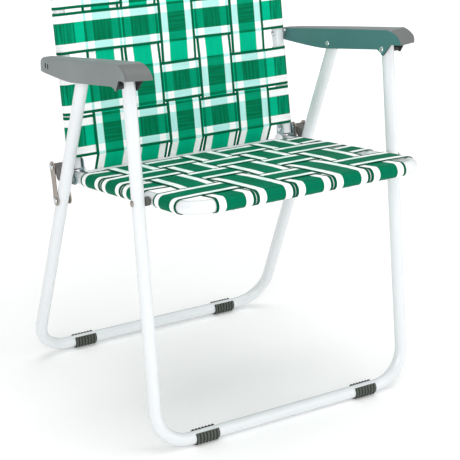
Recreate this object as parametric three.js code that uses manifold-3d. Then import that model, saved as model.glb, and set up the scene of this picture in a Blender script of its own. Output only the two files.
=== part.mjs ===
// Folding lawn chair: bent steel tube, plastic armrests and woven webbing straps.
// Millimetres, +Z up, the sitter faces -Y, the floor is Z = 0. Left and right are as seen from the front.
import * as THREE from "three";
import { mergeVertices } from "three/addons/utils/BufferGeometryUtils.js";
import Module from "manifold-3d";

const wasm = await Module();
wasm.setup();

// Tube stock and fits
const tubeDiameter = 20;
const tubeWall = 1.2;
const fitGap = 0.3;
const cornerBend = 32;
const floorBend = 58;

// Webbing
const strapWidth = 66.5;
const strapThickness = 1.2;
const strapGap = 2.2;
const strapEdge = 3.35;
const longStrapCount = 5;
const seatCrossGap = 4.1;
const backCrossGap = 5;

// Side view of the linkage, open
const armPivotY = -121.4;
const armPivotZ = 563;
const frontLegLean = 6.9;
const rearLegLean = 22.3;
const backLean = 9.2;
const seatSlope = 7.3;
const seatPivotDrop = 174;
const hingeRise = 23.1;
const rearLegPivotRun = 148.7;
const rearLegPivotDrop = 6.5;
const linkPivotDrop = 240;
const legStub = 14;
const rearLegStub = 12;

// Clear lengths of bare tube along the seat and the back
const seatPivotFrontClear = 12.3;
const seatCornerLap = 5.3;
const seatPivotRearClear = 22;
const seatHingeClear = 39.8;
const backHingeClear = 10;
const backPivotLowClear = 22.8;
const backPivotHighClear = 8.8;
const backTopClear = 2;
const seatTubeOverrun = 11;
const backTubeOverrun = 8;

// Hinge stack between the seat tube and the leg tube
const pivotSpacer = 9;
const spacerRadius = 7;
const plateThickness = 2;
const plateRadius = 9;
const plateToe = 17;
const rodRadius = 2.5;
const rodRise = 5;
const collarRadius = 10;
const collarLength = 5;
const collarEdge = 1;

// Folding links and their saddle
const linkThickness = 2;
const linkRadius = 9;
const linkWaist = 6.5;
const linkGap = 0.3;
const saddleRadius = 5.2;
const saddleReach = 10.5;
const saddleHorn = 5;
const saddleFlare = 2;

// Rivets
const pinRadius = 3;
const headRadius = 5;
const headHeight = 1.8;
const lowHeadHeight = 1.2;
const toeStudRadius = 2.5;
const backPivotPlay = 1.5;

// Feet
const frontFootX = 151.5;
const rearFootX = 145;
const footLength = 41;
const footWall = 2.6;
const footUnder = 1.8;
const footRibs = 7;
const footRibDepth = 0.7;
const footMouth = 15;

// Armrests, measured from the front leg pivot
const armInnerGap = 0.8;
const armOuterGap = 12.2;
const armWall = 2.5;
const armTop = 3;
const noseReach = 50;
const noseLip = 15;
const noseSetback = 14;
const noseCrown = 35;
const noseRound = 24;
const lipRear = 23.5;
const lipDrop = 3.5;
const tabDepth = 9.5;
const tabLead = 3;
const tabHalf = 4;
const tabRound = 3;
const tabRear = 11;
const tabNotch = 2;
const armBelly = 8.2;
const armBellyRun = 30;
const armCrown = 1;
const armTaper = 12;
const armEnd = 10;
const armEndAbove = 8.5;
const armEndBelow = 13;
const armEndRound = 14;
const armCorner = 7;
const bossRadius = 6.5;
const bossGrip = 3;
const endHoleRadius = 1.8;
const endHoleInset = 8;
const slotInset = 36;
const slotHalfLength = 4.5;
const slotRadius = 2.2;

// Fineness of the facets
const tubeSides = 14;
const ringSides = 12;
const boreSides = 8;
const bendSteps = 5;
const pinSides = 10;
const drillSides = 8;
const wrapSteps = 8;
const footSides = 14;
const curveSteps = 4;
const cutOver = 1;

// Sizes that follow
const tubeRadius = tubeDiameter / 2;
const strapPitch = strapWidth + strapGap;
const weaveLevel = tubeRadius + fitGap + strapThickness / 2;
const weaveHalf = (strapThickness + fitGap) / 2;
const frameX = (longStrapCount * strapWidth + (longStrapCount - 1) * strapGap) / 2 + strapEdge + cornerBend;
const legX = frameX + tubeDiameter + pivotSpacer;
const barZ = tubeRadius + fitGap + footUnder;
const seatReach = seatPivotFrontClear + strapWidth + cornerBend - seatCornerLap;
const seatDepth = seatPivotRearClear + 3 * strapWidth + 2 * seatCrossGap + seatHingeClear;
const backPivotRise = backHingeClear + 2 * strapWidth + strapGap + backPivotLowClear;
const upperStrapsFrom = backPivotRise + backPivotHighClear;
const backRise = upperStrapsFrom + 3 * strapWidth + backCrossGap + strapGap + backTopClear + cornerBend;
const armInside = legX - tubeRadius - armInnerGap;
const armOutside = legX + tubeRadius + armOuterGap;
const armInnerFace = armInside - armWall;
const armOuterFace = armOutside + armWall;
const armBossFrom = legX + tubeRadius + fitGap;

// Strap centres along the seat (from the pivot, rearwards) and along the back (from the hinge, upwards)
const longCentres = [...Array(longStrapCount).keys()].map((i) => (i - (longStrapCount - 1) / 2) * strapPitch);
const seatCrossCentres = [
  -seatPivotFrontClear - strapWidth / 2,
  ...[0, 1, 2].map((i) => seatPivotRearClear + strapWidth / 2 + i * (strapWidth + seatCrossGap)),
];
const upperCentre = upperStrapsFrom + strapWidth / 2;
const backCrossCentres = [
  backHingeClear + strapWidth / 2,
  backHingeClear + strapWidth / 2 + strapPitch,
  upperCentre,
  upperCentre + strapWidth + backCrossGap,
  upperCentre + strapWidth + backCrossGap + strapPitch,
];

// A plain weave; the back's left strap misses one crossing, as it does on the chair shown.
const seatLongOver = (column, row) => (column + row) % 2 === 1;
const backLongOver = (column, row) => (column + row) % 2 === 0 && !(column === 0 && row === 2);

// Frames in the side view: an origin (y, z) and a turn about +X
class SideFrame {
  constructor(origin, degrees) {
    this.origin = origin;
    this.turn = THREE.MathUtils.degToRad(degrees);
  }

  toWorld(y, z) {
    return new THREE.Vector2(y, z).rotateAround(new THREE.Vector2(), this.turn).add(this.origin);
  }

  toLocal(point) {
    return point.clone().sub(this.origin).rotateAround(new THREE.Vector2(), -this.turn);
  }

  group() {
    const group = new THREE.Group();
    group.position.set(0, this.origin.x, this.origin.y);
    group.rotation.x = this.turn;
    return group;
  }
}

const armFrame = new SideFrame(new THREE.Vector2(armPivotY, armPivotZ), 0);
const frontFrame = new SideFrame(armFrame.origin, -frontLegLean);
const seatFrame = new SideFrame(frontFrame.toWorld(0, -seatPivotDrop), -seatSlope);
const backFrame = new SideFrame(seatFrame.toWorld(seatDepth, hingeRise), -backLean);
const backPivot = armFrame.toLocal(backFrame.toWorld(0, backPivotRise));
const pivotLine = new SideFrame(armFrame.origin, THREE.MathUtils.radToDeg(backPivot.angle()));
const rearFrame = new SideFrame(pivotLine.toWorld(rearLegPivotRun, -rearLegPivotDrop), rearLegLean);
const rearPivot = armFrame.toLocal(rearFrame.origin);
const hingeOnRearLeg = rearFrame.toLocal(backFrame.origin);
const linkFoot = new THREE.Vector2(0, -linkPivotDrop);
const rodOnSeat = new THREE.Vector2(seatDepth, rodRise);
const heelOnSeat = new THREE.Vector2(seatDepth, 0);
const toeOnSeat = new THREE.Vector2(seatDepth - plateToe, 0);
const rodOnBack = backFrame.toLocal(seatFrame.toWorld(rodOnSeat.x, rodOnSeat.y));
const frontBarDrop = (frontFrame.origin.y - barZ) / Math.cos(frontFrame.turn);
const rearBarDrop = (rearFrame.origin.y - barZ) / Math.cos(rearFrame.turn);

// Finishes
const finish = (color, roughness, metalness) => new THREE.MeshStandardMaterial({ color, roughness, metalness });
const whitePaint = () => finish(0xf1f4f3, 0.3, 0.0);
const greyPlastic = () => finish(0x8d9292, 0.5, 0.0);
const darkRubber = () => finish(0x4b5048, 0.7, 0.0);
const zincPlate = () => finish(0xa9b2b4, 0.35, 0.9);
const whiteNylon = () => finish(0xeceeed, 0.5, 0.0);
const greenWebbing = () => finish(0x00a577, 0.65, 0.0);

// Closed solids from geometry
function closed(geometry) {
  const bare = new THREE.BufferGeometry();
  bare.setAttribute("position", geometry.getAttribute("position"));
  bare.setIndex(geometry.index);
  const merged = mergeVertices(bare, 1e-4);
  const at = merged.index.array;
  const corner = (i) => new THREE.Vector3().fromBufferAttribute(merged.getAttribute("position"), i);
  const faces = [];
  let volume = 0;
  for (let i = 0; i < at.length; i += 3) {
    const [a, b, c] = at.slice(i, i + 3);
    if (a !== b && b !== c && c !== a) {
      faces.push([a, b, c]);
      volume += corner(a).dot(corner(b).cross(corner(c)));
    }
  }
  merged.setIndex(faces.flatMap(([a, b, c]) => (volume < 0 ? [a, c, b] : [a, b, c])));
  return merged;
}

function toSolid(geometry) {
  const shut = closed(geometry);
  return new wasm.Manifold(new wasm.Mesh({
    numProp: 3,
    vertProperties: new Float32Array(shut.getAttribute("position").array),
    triVerts: new Uint32Array(shut.index.array),
  }));
}

function shaped(base, { keeps = [], cuts = [], joins = [] }) {
  let solid = toSolid(base);
  for (const limit of keeps) solid = solid.intersect(toSolid(limit));
  for (const piece of joins) solid = solid.add(toSolid(piece));
  for (const tool of cuts) solid = solid.subtract(toSolid(tool));
  const mesh = solid.getMesh();
  const geometry = new THREE.BufferGeometry();
  geometry.setAttribute("position", new THREE.BufferAttribute(mesh.vertProperties, 3));
  geometry.setIndex(new THREE.BufferAttribute(mesh.triVerts, 1));
  return geometry;
}

// Centre line of a bent tube: straight runs, with a round bend at each corner
class BentLine extends THREE.Curve {
  constructor(corners, radius) {
    super();
    const last = corners.length - 1;
    const heading = (i) => corners[i + 1].clone().sub(corners[i]).normalize();
    this.stations = [{ point: corners[0], tangent: heading(0) }];
    for (let i = 1; i < last; i += 1) this.addBend(corners[i], heading(i - 1), heading(i), radius);
    this.stations.push({ point: corners[last], tangent: heading(last - 1) });
  }

  addBend(corner, before, after, radius) {
    const turn = before.angleTo(after);
    const start = corner.clone().addScaledVector(before, -radius * Math.tan(turn / 2));
    const inward = after.clone().addScaledVector(before, -after.dot(before)).normalize();
    for (let step = 0; step <= bendSteps; step += 1) {
      const angle = (turn * step) / bendSteps;
      const point = start.clone().addScaledVector(before, radius * Math.sin(angle));
      point.addScaledVector(inward, radius * (1 - Math.cos(angle)));
      const tangent = before.clone().multiplyScalar(Math.cos(angle)).addScaledVector(inward, Math.sin(angle));
      this.stations.push({ point, tangent });
    }
  }

  get steps() {
    return this.stations.length - 1;
  }

  getPointAt(u, target = new THREE.Vector3()) {
    return target.copy(this.stations[Math.round(u * this.steps)].point);
  }

  getTangentAt(u, target = new THREE.Vector3()) {
    return target.copy(this.stations[Math.round(u * this.steps)].tangent);
  }
}

function ring(radius, sides) {
  const angles = [...Array(sides).keys()].map((i) => (2 * Math.PI * i) / sides);
  return angles.map((angle) => new THREE.Vector2(radius * Math.cos(angle), radius * Math.sin(angle)));
}

function bentTube(corners, radius) {
  const section = new THREE.Shape(ring(tubeRadius, tubeSides));
  section.holes.push(new THREE.Path(ring(tubeRadius - tubeWall, boreSides)));
  const extrudePath = new BentLine(corners, radius);
  return new THREE.ExtrudeGeometry(section, { extrudePath, steps: extrudePath.steps, bevelEnabled: false });
}

// A solid turned about X from a list of [radius, x], and a drill across the chair
function turned(profile, sides = pinSides) {
  const points = profile.map(([radius, x]) => new THREE.Vector2(radius, x));
  return new THREE.LatheGeometry(points, sides).rotateZ(-Math.PI / 2);
}

function rod(radius, from, to, sides = pinSides) {
  return turned([[0, from], [radius, from], [radius, to], [0, to]], sides);
}

function drill(radius, y, z, from = -legX - tubeDiameter, to = legX + tubeDiameter) {
  return rod(radius + fitGap, from, to, drillSides).translate(0, y, z);
}

// A rivet from its head at `from` to its end at `to`, with a low second head if `tail` is set
function rivet(from, to, radius, tail) {
  const way = Math.sign(to - from);
  const profile = [[0, from - way * headHeight], [headRadius, from - way * headHeight * 0.4], [headRadius, from]];
  profile.push([radius, from], [radius, to]);
  if (tail) {
    profile.push([headRadius, to], [headRadius, to + way * lowHeadHeight], [0, to + way * lowHeadHeight]);
  } else {
    profile.push([0, to]);
  }
  return closed(turned(profile));
}

// An outline in the side view (y, z) given thickness across the chair, from one x to another
function sidePlate(outline, from, to) {
  const options = { depth: Math.abs(to - from), curveSegments: curveSteps, bevelEnabled: false };
  const alongX = new THREE.Matrix4().makeBasis(
    new THREE.Vector3(0, 1, 0),
    new THREE.Vector3(0, 0, 1),
    new THREE.Vector3(1, 0, 0),
  );
  return new THREE.ExtrudeGeometry(outline, options).applyMatrix4(alongX).translate(Math.min(from, to), 0, 0);
}

// A convex plate outline: corners in anticlockwise order, each rounded by the same radius
function roundedOutline(corners, radius) {
  const shape = new THREE.Shape();
  const heading = (i) => corners[(i + 1) % corners.length].clone().sub(corners[i]).angle();
  corners.forEach((corner, i) => {
    const before = heading((i + corners.length - 1) % corners.length) - Math.PI / 2;
    shape.absarc(corner.x, corner.y, radius, before, heading(i) - Math.PI / 2, false);
  });
  return shape;
}

// Tube frames
function legFrame(stub, barDrop, pivots) {
  const corners = [
    new THREE.Vector3(-legX, 0, stub),
    new THREE.Vector3(-legX, 0, -barDrop),
    new THREE.Vector3(legX, 0, -barDrop),
    new THREE.Vector3(legX, 0, stub),
  ];
  return shaped(bentTube(corners, floorBend), { cuts: pivots.map((z) => drill(pinRadius, 0, z)) });
}

function seatTube() {
  const corners = [
    new THREE.Vector3(-frameX, seatDepth + seatTubeOverrun, 0),
    new THREE.Vector3(-frameX, -seatReach, 0),
    new THREE.Vector3(frameX, -seatReach, 0),
    new THREE.Vector3(frameX, seatDepth + seatTubeOverrun, 0),
  ];
  const cuts = [
    drill(pinRadius, 0, 0),
    drill(rodRadius, rodOnSeat.x, rodOnSeat.y),
    drill(toeStudRadius, toeOnSeat.x, toeOnSeat.y),
  ];
  return shaped(bentTube(corners, cornerBend), { cuts });
}

function backTube() {
  const corners = [
    new THREE.Vector3(-frameX, 0, -backTubeOverrun),
    new THREE.Vector3(-frameX, 0, backRise),
    new THREE.Vector3(frameX, 0, backRise),
    new THREE.Vector3(frameX, 0, -backTubeOverrun),
  ];
  const cuts = [drill(pinRadius, 0, 0), drill(pinRadius + backPivotPlay, 0, backPivotRise)];
  return shaped(bentTube(corners, cornerBend), { cuts });
}

// Ribbed foot: a sleeve round the floor bar, open on top and flat underneath
function foot() {
  const rib = footRibDepth;
  const outer = tubeRadius + fitGap + footWall;
  const inner = tubeRadius + fitGap;
  const half = footLength / 2;
  const profile = [[inner, -half], [outer - rib, -half]];
  for (let i = 0; i < footRibs; i += 1) {
    const start = -half + (footLength * i) / footRibs;
    profile.push([outer, start + (footLength * 0.5) / footRibs]);
    profile.push([outer - rib, start + footLength / footRibs]);
  }
  profile.push([inner, half], [inner, -half]);
  const mouth = new THREE.BoxGeometry(2 * footLength, footMouth, outer).translate(0, 0, outer / 2 + tubeRadius / 3);
  const floor = new THREE.BoxGeometry(2 * footLength, 4 * outer, outer).translate(0, 0, -barZ - outer / 2);
  return shaped(turned(profile, footSides), { cuts: [mouth, floor] });
}

// Armrest from the side: a channel open underneath, with a drooping nose and a tab at the front leg
function armOutline(skin) {
  const rearY = backPivot.x + armEnd - skin;
  const rearTop = backPivot.y + armEndAbove - skin;
  const rearLow = backPivot.y - armEndBelow;
  const belly = new THREE.Vector2(rearPivot.x, rearPivot.y - armBelly);
  const bellySlope = (belly.y + tabNotch) / (belly.x - tabRear);
  const crownY = (rearY - noseSetback) / 2;
  const crownZ = (rearTop + noseCrown - skin) / 2 + armCrown;
  const shape = new THREE.Shape();
  if (skin > 0) {
    shape.moveTo(skin - noseReach, -noseReach);
    shape.lineTo(rearY, -noseReach);
  } else {
    shape.moveTo(-noseReach, noseLip);
    shape.lineTo(-lipRear, noseLip - lipDrop);
    shape.lineTo(-tabLead - tabHalf, tabRound - tabDepth);
    shape.quadraticCurveTo(-tabLead, -tabRound - tabDepth, tabHalf - tabLead, tabRound - tabDepth);
    shape.lineTo(tabRear, -tabNotch);
    shape.lineTo(belly.x, belly.y);
    shape.quadraticCurveTo(belly.x + armBellyRun, belly.y + bellySlope * armBellyRun, rearY - armCorner, rearLow);
    shape.quadraticCurveTo(rearY, rearLow, rearY, rearLow + armCorner);
  }
  shape.lineTo(rearY, rearTop - armCorner);
  shape.quadraticCurveTo(rearY, rearTop, rearY - armCorner, rearTop);
  shape.quadraticCurveTo(crownY, crownZ, -noseSetback, noseCrown - skin);
  shape.absellipse(
    -noseSetback,
    noseLip,
    noseReach - noseSetback - skin,
    noseCrown - noseLip - skin,
    Math.PI / 2,
    Math.PI,
    false,
  );
  return shape;
}

// Armrest from above: it tapers to the rear and its outer corners are rounded
function armPlan(side, skin) {
  const front = skin - noseReach;
  const rear = backPivot.x + armEnd - skin;
  const outer = armOuterFace - skin;
  const noseTurn = noseRound - skin;
  const endTurn = armEndRound - skin;
  const shape = new THREE.Shape().moveTo(armInnerFace + skin, rear);
  shape.lineTo(armInnerFace + skin, front);
  shape.absarc(outer - noseTurn, front + noseTurn, noseTurn, -Math.PI / 2, 0, false);
  shape.absarc(outer - armTaper - endTurn, rear - endTurn, endTurn, 0, Math.PI / 2, false);
  const options = { depth: 4 * noseReach, curveSegments: curveSteps, bevelEnabled: false };
  return new THREE.ExtrudeGeometry(shape, options).translate(0, 0, -2 * noseReach).scale(side, 1, 1);
}

function armrest(side) {
  const body = sidePlate(armOutline(0), side * armInnerFace, side * armOuterFace);
  const hollow = sidePlate(armOutline(armTop), side * armInside, side * armOutside);
  const boss = (pivot, from, to) => rod(bossRadius, side * from, side * to).translate(0, pivot.x, pivot.y);
  const joins = [];
  const cuts = [];
  for (const pivot of [new THREE.Vector2(), rearPivot]) {
    joins.push(boss(pivot, armInside - armWall / 2, armInside + armInnerGap - fitGap));
    joins.push(boss(pivot, armBossFrom, armOutside + armWall / 2));
    const bore = [side * (armInnerFace - cutOver), side * (armBossFrom + bossGrip + fitGap)];
    cuts.push(drill(pinRadius, pivot.x, pivot.y, ...bore));
  }
  const wall = [side * (armOutside - armTaper - cutOver), side * (armOuterFace + cutOver)];
  const tailHole = [side * (armInnerFace - cutOver), side * (armInside + cutOver)];
  cuts.push(drill(pinRadius, backPivot.x, backPivot.y, ...tailHole));
  cuts.push(rod(endHoleRadius, ...wall).translate(0, backPivot.x + armEnd - endHoleInset, backPivot.y));
  const slotY = backPivot.x + armEnd - slotInset;
  const slotEnds = [-slotHalfLength, slotHalfLength].map((z) => new THREE.Vector2(slotY, backPivot.y + z));
  cuts.push(sidePlate(roundedOutline(slotEnds, slotRadius), ...wall));
  const inside = shaped(hollow, { keeps: [armPlan(side, armWall)] });
  const channel = shaped(body, { cuts: [inside] });
  return shaped(shaped(channel, { joins, cuts }), { keeps: [armPlan(side, 0)] });
}

// Hinge between seat and back: an arm up to the hinge and a toe along the tube
const plateArm = roundedOutline([heelOnSeat, new THREE.Vector2(seatDepth, hingeRise)], plateRadius);
const plateFoot = roundedOutline([heelOnSeat, toeOnSeat], plateRadius);

const innerPlateX = frameX - tubeRadius - fitGap - plateThickness;
const outerPlateX = frameX + tubeRadius + fitGap;

const plateStackEnd = outerPlateX + plateThickness + fitGap;

function hingePlate(side, x, drills) {
  const cuts = [drill(pinRadius, seatDepth, hingeRise), drill(rodRadius, rodOnSeat.x, rodOnSeat.y), ...drills];
  const [arm, toe] = [plateArm, plateFoot].map((outline) => sidePlate(outline, side * x, side * (x + plateThickness)));
  return shaped(arm, { joins: [toe], cuts });
}

// The inner plate carries the stud that clamps both plates on the tube at the toe.
function innerPlate(side) {
  const stud = rivet(side * (innerPlateX + plateThickness / 4), side * plateStackEnd, toeStudRadius, true);
  stud.translate(0, toeOnSeat.x, toeOnSeat.y);
  return shaped(hingePlate(side, innerPlateX, []), { joins: [stud] });
}

function outerPlate(side) {
  return hingePlate(side, outerPlateX, [drill(toeStudRadius, toeOnSeat.x, toeOnSeat.y)]);
}

function rearRod() {
  const end = plateStackEnd;
  const profile = [[0, -end - lowHeadHeight], [headRadius, -end - lowHeadHeight], [headRadius, -end]];
  profile.push([rodRadius, -end], [rodRadius, end], [headRadius, end]);
  profile.push([headRadius, end + lowHeadHeight], [0, end + lowHeadHeight]);
  return closed(turned(profile)).translate(0, rodOnSeat.x, rodOnSeat.y);
}

function rodCollar(side) {
  const outer = innerPlateX - fitGap;
  const inner = outer - collarLength;
  const bore = rodRadius + fitGap;
  const profile = [[bore, inner], [collarRadius - collarEdge, inner], [collarRadius, inner + collarEdge]];
  profile.push([collarRadius, outer], [bore, outer], [bore, inner]);
  return closed(turned(profile.map(([radius, x]) => [radius, side * x]), ringSides));
}

function hingeRivet(side) {
  const pin = rivet(side * (innerPlateX - fitGap), side * plateStackEnd, pinRadius, true);
  return pin.translate(0, seatDepth, hingeRise);
}

// Links from the rear leg up to the hinge, with the saddle that rests on the leg when open
function linkOutline() {
  const run = hingeOnRearLeg.clone().sub(linkFoot);
  const across = new THREE.Vector2(run.y, -run.x).normalize();
  const middle = linkFoot.clone().addScaledVector(run, 0.5);
  const start = across.angle();
  const edge = (point, side, width) => point.clone().addScaledVector(across, side * width);
  const waist = 2 * linkWaist - linkRadius;
  const rightTop = edge(hingeOnRearLeg, 1, linkRadius);
  const leftFoot = edge(linkFoot, -1, linkRadius);
  const rightMiddle = edge(middle, 1, waist);
  const leftMiddle = edge(middle, -1, waist);
  const shape = new THREE.Shape().absarc(linkFoot.x, linkFoot.y, linkRadius, start + Math.PI, start, false);
  shape.quadraticCurveTo(rightMiddle.x, rightMiddle.y, rightTop.x, rightTop.y);
  shape.absarc(hingeOnRearLeg.x, hingeOnRearLeg.y, linkRadius, start, start + Math.PI, false);
  shape.quadraticCurveTo(leftMiddle.x, leftMiddle.y, leftFoot.x, leftFoot.y);
  return shape;
}

function foldLink(x) {
  const cuts = [linkFoot, hingeOnRearLeg].map((pivot) => drill(pinRadius, pivot.x, pivot.y));
  return shaped(sidePlate(linkOutline(), x, x + linkThickness * Math.sign(x)), { cuts });
}

function linkSaddle(side) {
  const { x: y, y: z } = hingeOnRearLeg;
  const padY = tubeRadius + saddleHorn / 2;
  const outline = new THREE.Shape().moveTo(saddleHorn, z - saddleReach);
  outline.lineTo(padY, z - saddleReach);
  outline.quadraticCurveTo(padY + saddleFlare, z - saddleRadius, y, z - saddleRadius);
  outline.absarc(y, z, saddleRadius, -Math.PI / 2, Math.PI / 2, false);
  outline.quadraticCurveTo(padY + saddleFlare, z + saddleRadius, padY, z + saddleReach);
  outline.lineTo(saddleHorn, z + saddleReach);
  const half = tubeRadius + linkGap - fitGap;
  const legHole = new THREE.CylinderGeometry(tubeRadius + fitGap, tubeRadius + fitGap, 8 * saddleReach, tubeSides);
  legHole.rotateX(Math.PI / 2).translate(side * legX, 0, z);
  return shaped(sidePlate(outline, side * legX - half, side * legX + half), {
    cuts: [legHole, drill(pinRadius, y, z)],
  });
}

function linkRivet(side, pivot) {
  const reach = tubeRadius + linkGap + linkThickness + fitGap;
  const pin = rivet(side * (legX + reach), side * (legX - reach), pinRadius, true);
  return pin.translate(0, pivot.x, pivot.y);
}

// Pivots at the armrests and at the seat
function armRivet(side, pivot) {
  const head = armInnerFace - fitGap;
  const end = armBossFrom + bossGrip;
  return rivet(side * head, side * end, pinRadius, false).translate(0, pivot.x, pivot.y);
}

// The back's rivet has a shoulder that spaces the tube from the armrest.
function armBackRivet(side) {
  const headFrom = frameX - tubeRadius - fitGap;
  const shoulderFrom = frameX + tubeRadius + fitGap;
  const shoulderTo = armInnerFace - fitGap;
  const tailFrom = armInside + fitGap;
  const profile = [[0, headFrom - headHeight], [headRadius, headFrom - headHeight / 2], [headRadius, headFrom]];
  profile.push([pinRadius, headFrom], [pinRadius, shoulderFrom], [spacerRadius, shoulderFrom]);
  profile.push([spacerRadius, shoulderTo], [pinRadius, shoulderTo], [pinRadius, tailFrom]);
  profile.push([headRadius, tailFrom], [headRadius, tailFrom + lowHeadHeight], [0, tailFrom + lowHeadHeight]);
  const pin = turned(profile.map(([radius, x]) => [radius, side * x]));
  return pin.translate(0, backPivot.x, backPivot.y);
}

function seatPivotRivet(side) {
  const from = legX + tubeRadius + fitGap;
  const to = frameX - tubeRadius - fitGap;
  return rivet(side * from, side * to, pinRadius, true);
}

function seatPivotSpacer(side) {
  const from = frameX + tubeRadius + fitGap;
  const to = legX - tubeRadius - fitGap;
  const bore = pinRadius + fitGap;
  const profile = [[bore, from], [spacerRadius, from], [spacerRadius, to], [bore, to], [bore, from]];
  return closed(turned(profile.map(([radius, x]) => [radius, side * x]), ringSides));
}

// Webbing: a path in one plane, thickened into a flat strap
function arc(centre, radius, from, to) {
  const steps = Math.max(2, Math.round((wrapSteps * Math.abs(to - from)) / Math.PI));
  const points = [];
  for (let i = 0; i <= steps; i += 1) {
    const angle = from + ((to - from) * i) / steps;
    points.push(new THREE.Vector2(centre.x + radius * Math.cos(angle), centre.y + radius * Math.sin(angle)));
  }
  return points;
}

// The angle on a circle where a straight run from it to a point leaves, on one side or the other
function leavingAngle(centre, radius, point, side) {
  const away = point.clone().sub(centre);
  return away.angle() + side * Math.acos(radius / away.length());
}

function strapOutline(path) {
  const half = strapThickness / 2;
  const edge = (side) => path.map((point, i) => {
    const before = point.clone().sub(path[Math.max(i - 1, 0)]).normalize();
    const after = path[Math.min(i + 1, path.length - 1)].clone().sub(point).normalize();
    const along = before.add(after).normalize();
    const run = i > 0 ? point.clone().sub(path[i - 1]).normalize() : along;
    const mitre = half / along.dot(run);
    return point.clone().add(new THREE.Vector2(-along.y, along.x).multiplyScalar(side * mitre));
  });
  return new THREE.Shape([...edge(1), ...edge(-1).reverse()]);
}

// Seat and back straps meet behind and under the rod, a small gap apart
const strapMeet = THREE.MathUtils.degToRad(300);
const strapMeetHalf = fitGap / rodRadius;

// Points where a strap runs level over or under each strap that it crosses
function crossings(centres, level) {
  return centres.flatMap((centre, i) => [
    new THREE.Vector2(centre - strapWidth / 2, level(i)),
    new THREE.Vector2(centre + strapWidth / 2, level(i)),
  ]);
}

function seatLongStrap(column) {
  const level = (row) => weaveLevel + (seatLongOver(column, row) ? weaveHalf : -weaveHalf);
  const rail = new THREE.Vector2(-seatReach, 0);
  const weave = crossings(seatCrossCentres, level);
  const rodWrap = rodRadius + fitGap + strapThickness / 2;
  const leave = leavingAngle(rodOnSeat, rodWrap, weave[weave.length - 1], 1);
  const path = [
    ...arc(rail, weaveLevel, 1.5 * Math.PI, 0.5 * Math.PI),
    ...weave,
    ...arc(rodOnSeat, rodWrap, leave, strapMeet - strapMeetHalf),
  ];
  return sidePlate(strapOutline(path), longCentres[column] - strapWidth / 2, longCentres[column] + strapWidth / 2);
}

function seatCrossStrap(row) {
  const level = (column) => weaveLevel + (seatLongOver(column, row) ? -weaveHalf : weaveHalf);
  const path = [
    ...arc(new THREE.Vector2(-frameX, 0), weaveLevel, 1.5 * Math.PI, 0.5 * Math.PI),
    ...crossings(longCentres, level),
    ...arc(new THREE.Vector2(frameX, 0), weaveLevel, 0.5 * Math.PI, -0.5 * Math.PI),
  ];
  const options = { depth: strapWidth, bevelEnabled: false };
  const strap = new THREE.ExtrudeGeometry(strapOutline(path), options);
  return strap.rotateX(Math.PI / 2).translate(0, seatCrossCentres[row] + strapWidth / 2, 0);
}

function backLongStrap(column) {
  const level = (row) => -weaveLevel + (backLongOver(column, row) ? -weaveHalf : weaveHalf);
  const rail = new THREE.Vector2(0, backRise);
  const weave = crossings(backCrossCentres, level).map((point) => new THREE.Vector2(point.y, point.x));
  const rodWrap = rodRadius + fitGap + strapThickness / 2;
  const leave = leavingAngle(rodOnBack, rodWrap, weave[0], -1);
  const meet = strapMeet + strapMeetHalf + seatFrame.turn - backFrame.turn - 2 * Math.PI;
  const path = [
    ...arc(rodOnBack, rodWrap, meet, leave),
    ...weave,
    ...arc(rail, weaveLevel, Math.PI, 0),
  ];
  return sidePlate(strapOutline(path), longCentres[column] - strapWidth / 2, longCentres[column] + strapWidth / 2);
}

function backCrossStrap(row) {
  const level = (column) => -weaveLevel + (backLongOver(column, row) ? weaveHalf : -weaveHalf);
  const path = [
    ...arc(new THREE.Vector2(-frameX, 0), weaveLevel, 0.5 * Math.PI, 1.5 * Math.PI),
    ...crossings(longCentres, level),
    ...arc(new THREE.Vector2(frameX, 0), weaveLevel, -0.5 * Math.PI, 0.5 * Math.PI),
  ];
  const options = { depth: strapWidth, bevelEnabled: false };
  const strap = new THREE.ExtrudeGeometry(strapOutline(path), options);
  return strap.translate(0, 0, backCrossCentres[row] - strapWidth / 2);
}

// Assembly
const chair = new THREE.Group();
const frontLegs = frontFrame.group();
const rearLegs = rearFrame.group();
const arms = armFrame.group();
const seat = seatFrame.group();
const back = backFrame.group();
chair.add(frontLegs, rearLegs, arms, seat, back);

function add(group, name, geometry, material) {
  const mesh = new THREE.Mesh(closed(geometry), material);
  mesh.name = name;
  group.add(mesh);
  return mesh;
}

add(frontLegs, "front_leg_frame", legFrame(legStub, frontBarDrop, [0, -seatPivotDrop]), whitePaint());
add(rearLegs, "rear_leg_frame", legFrame(rearLegStub, rearBarDrop, [0, -linkPivotDrop]), whitePaint());
add(seat, "seat_frame", seatTube(), whitePaint());
add(back, "back_frame", backTube(), whitePaint());
add(seat, "seat_rear_rod", rearRod(), whitePaint());

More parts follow.
